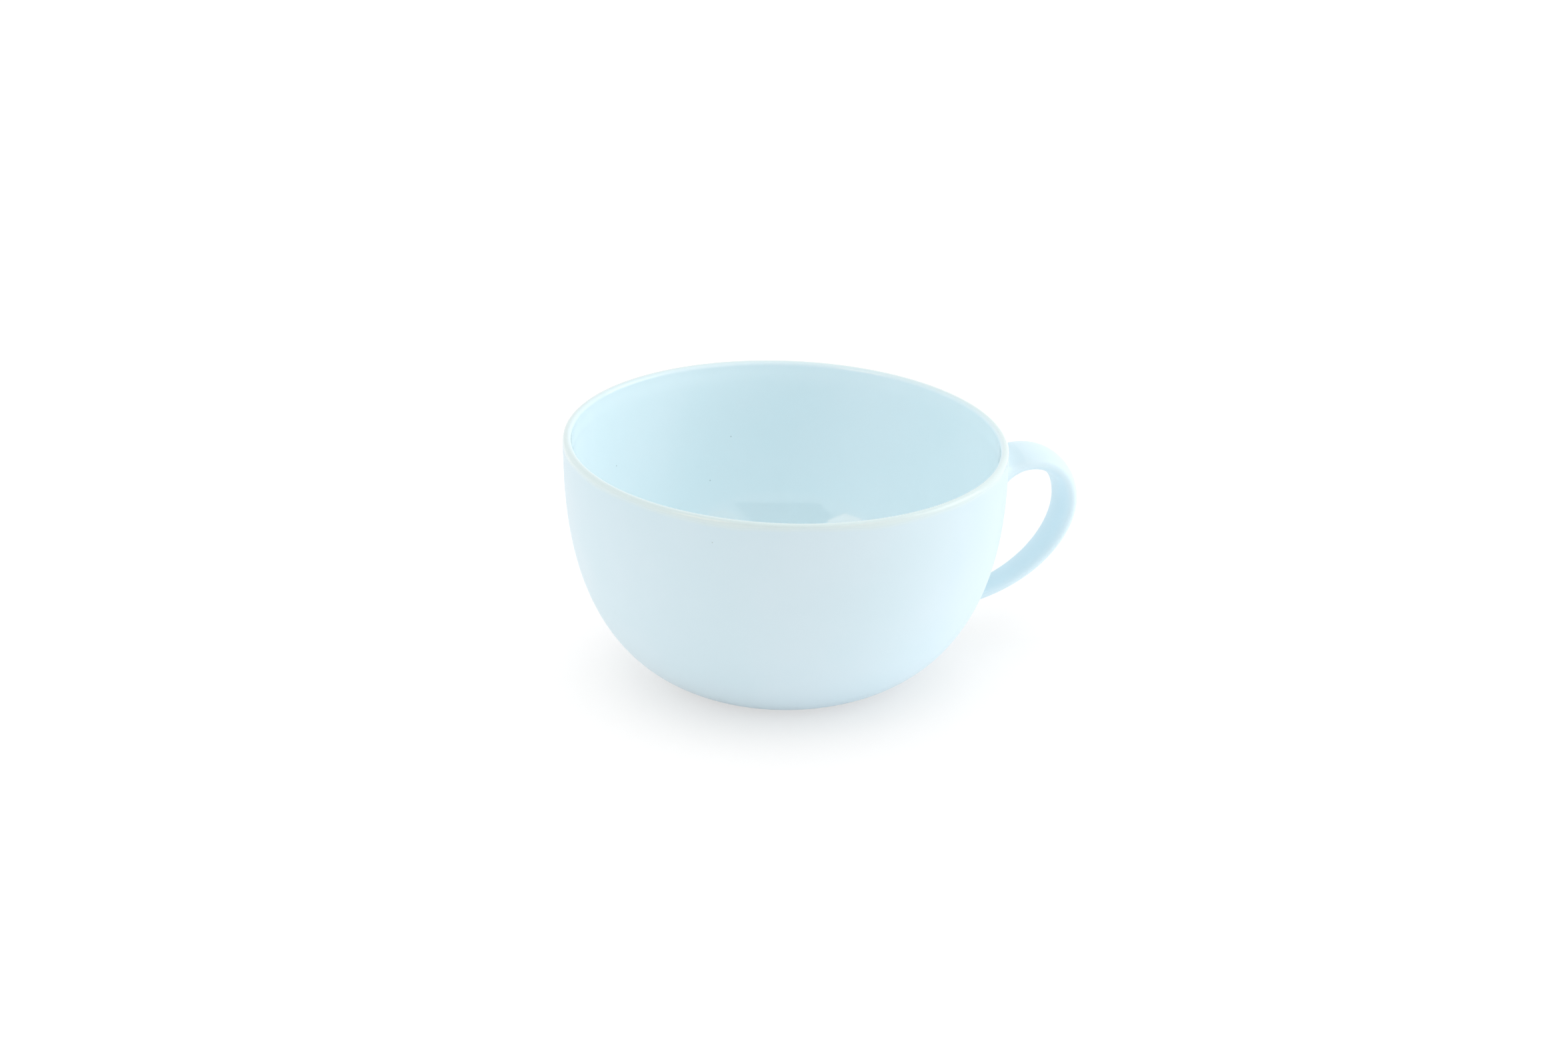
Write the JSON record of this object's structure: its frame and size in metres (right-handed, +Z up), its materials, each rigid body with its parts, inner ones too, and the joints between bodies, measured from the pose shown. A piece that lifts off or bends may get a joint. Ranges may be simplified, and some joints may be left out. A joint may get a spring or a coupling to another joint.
{
  "type": "soup mug",
  "caption": "Low round soup mug with a gently slanted round lip, a wall that turns under to a small foot ring, and a tapering strap handle luted to one side.",
  "frame": {"origin": "on the bowl's axis, at the plane the foot ring stands on", "axes": "+Z up, +X towards the handle"},
  "size_m": [0.1438, 0.1198, 0.069],
  "materials": {
    "satin_glaze": "satin pale blue glaze",
    "handle_glaze": "satin pale blue glaze",
    "slip": "satin pale blue glaze over slip",
    "gloss_glaze": "gloss pale blue glaze",
    "biscuit": "bare fired clay"
  },
  "bodies": {
    "root": {"bowl": "satin_glaze", "foot_ring": "biscuit", "handle": "handle_glaze", "handle_upper_joint": "slip", "handle_lower_joint": "slip", "inner_glaze": "gloss_glaze"}
  },
  "joints": []
}
